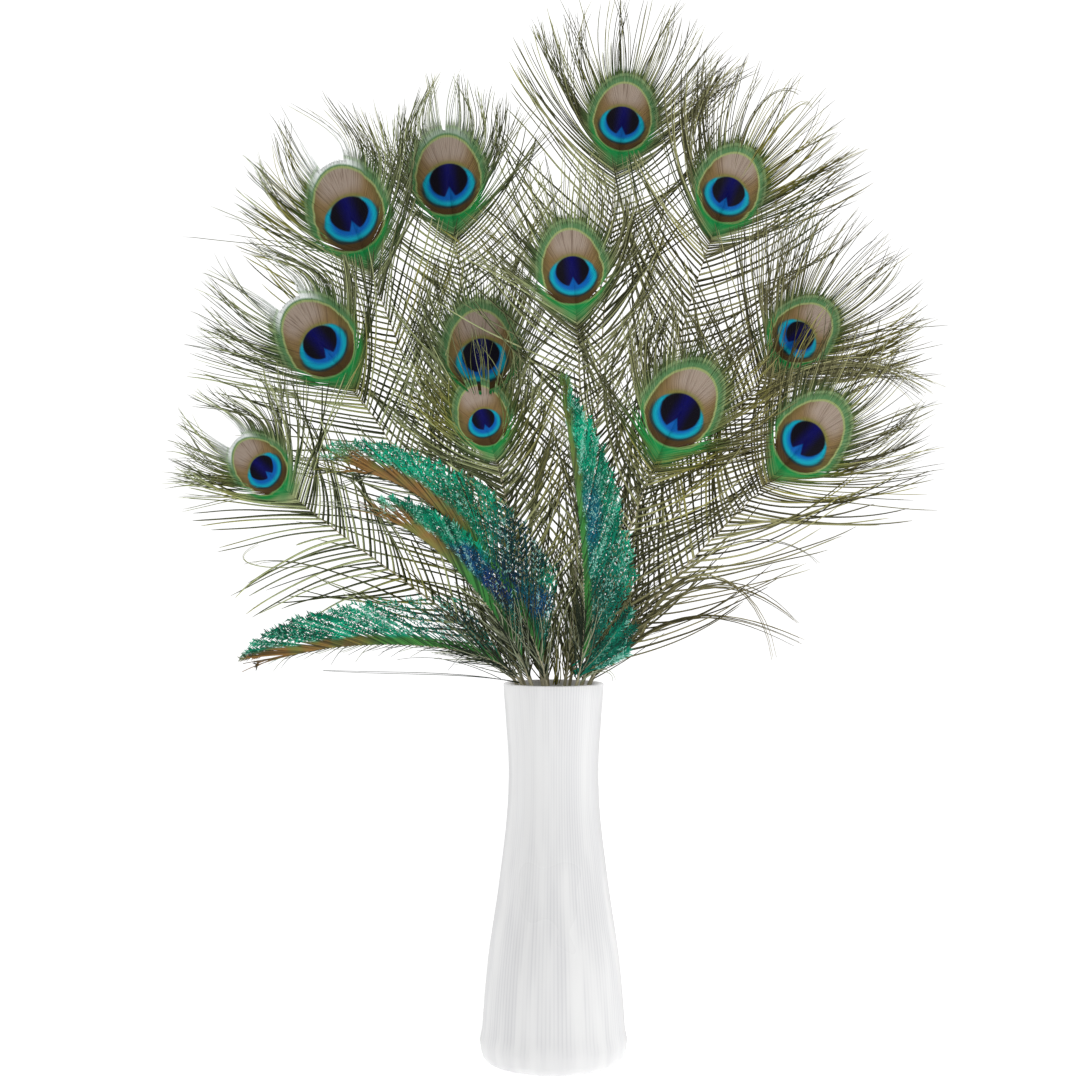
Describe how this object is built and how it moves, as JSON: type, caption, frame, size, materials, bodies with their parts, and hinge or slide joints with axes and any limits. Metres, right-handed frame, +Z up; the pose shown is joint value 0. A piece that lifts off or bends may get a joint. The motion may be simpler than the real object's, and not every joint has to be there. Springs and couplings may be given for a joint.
{
  "type": "peacock feathers in a vase",
  "caption": "Bouquet of eyed peacock tail feathers and curved green sword feathers, standing in a slim white glazed ceramic vase with a waisted neck.",
  "frame": {"origin": "centre of the vase's flat foot, on the surface it stands on", "axes": "+Z up along the vase's axis, +X to the right and +Y to the back, seen from the side that shows the eyes"},
  "size_m": [0.4282, 0.1369, 0.592],
  "materials": {
    "glaze": "gloss",
    "tail_feather": "satin",
    "sword_feather": "satin"
  },
  "bodies": {
    "root": {"vase": "glaze", "eye_feather_01": "tail_feather", "eye_feather_02": "tail_feather", "eye_feather_03": "tail_feather", "eye_feather_04": "tail_feather", "eye_feather_05": "tail_feather", "eye_feather_06": "tail_feather", "eye_feather_07": "tail_feather", "eye_feather_08": "tail_feather", "eye_feather_09": "tail_feather", "eye_feather_10": "tail_feather", "eye_feather_11": "tail_feather", "eye_feather_12": "tail_feather", "sword_feather_01": "sword_feather", "sword_feather_02": "sword_feather", "sword_feather_03": "sword_feather", "sword_feather_04": "sword_feather"}
  },
  "joints": []
}
